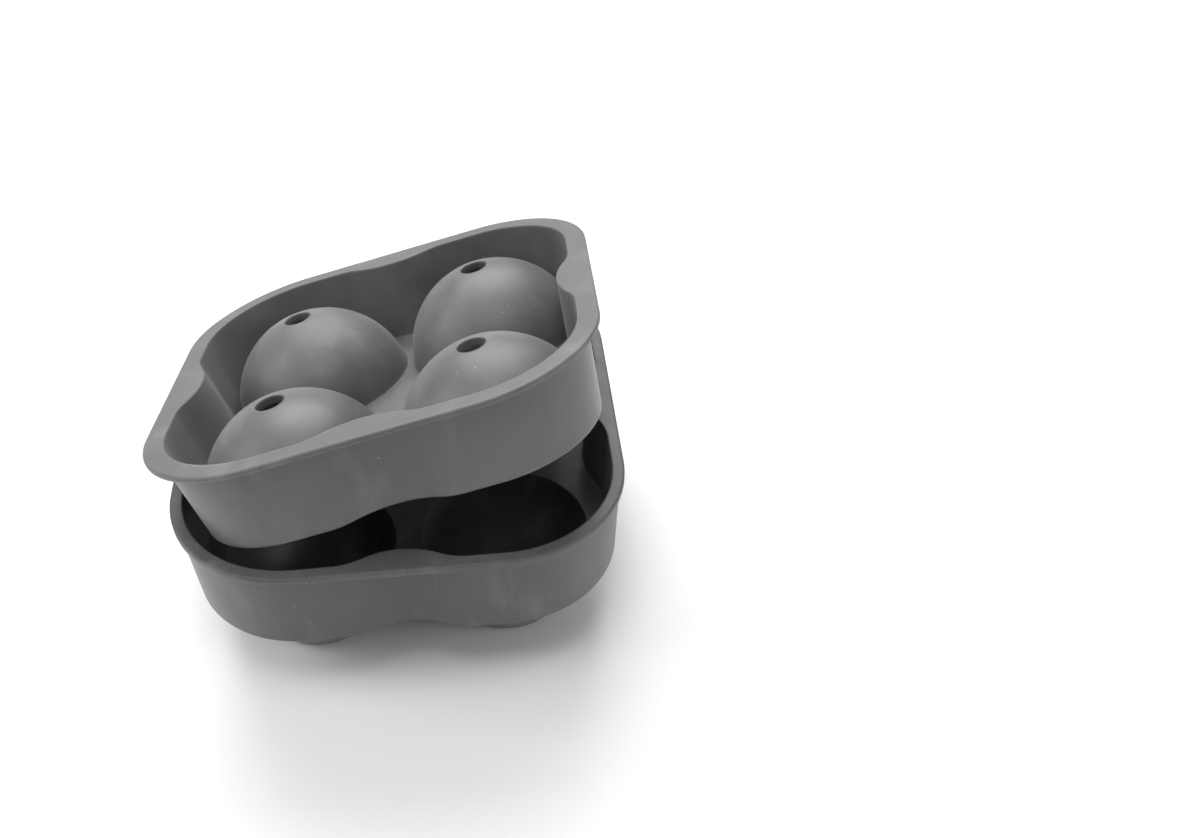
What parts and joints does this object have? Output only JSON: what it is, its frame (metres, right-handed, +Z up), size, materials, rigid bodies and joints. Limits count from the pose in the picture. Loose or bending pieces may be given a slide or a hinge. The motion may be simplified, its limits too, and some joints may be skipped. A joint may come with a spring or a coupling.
{
  "type": "ice ball mold",
  "caption": "Silicone mold for four ice balls: a waisted lower tray with round cups, and an upper tray with domes and fill holes that nests in it, peeled open at one corner.",
  "frame": {"origin": "under the middle of the box that the part fills as stored, on the plane of its four feet; the centre of the lower tray is 1.6 mm from it, to the right and front", "axes": "+X to the right, +Y to the back, +Z up; the upper tray opens from the +X -Y corner"},
  "size_m": [0.119, 0.119, 0.0969],
  "materials": {
    "lower_silicone": "matt silicone, soft sheen",
    "upper_silicone": "matt silicone, soft sheen"
  },
  "bodies": {
    "lower": {"lower_tray": "lower_silicone"},
    "upper": {"upper_tray": "upper_silicone"}
  },
  "joints": [
    {"name": "peel_open", "type": "hinge", "parent": "lower", "child": "upper", "pos_m": [-0.04777, 0.04777, 0.04815], "axis": [-0.7071, -0.7071, 0], "range_deg": [-20, 40]}
  ]
}
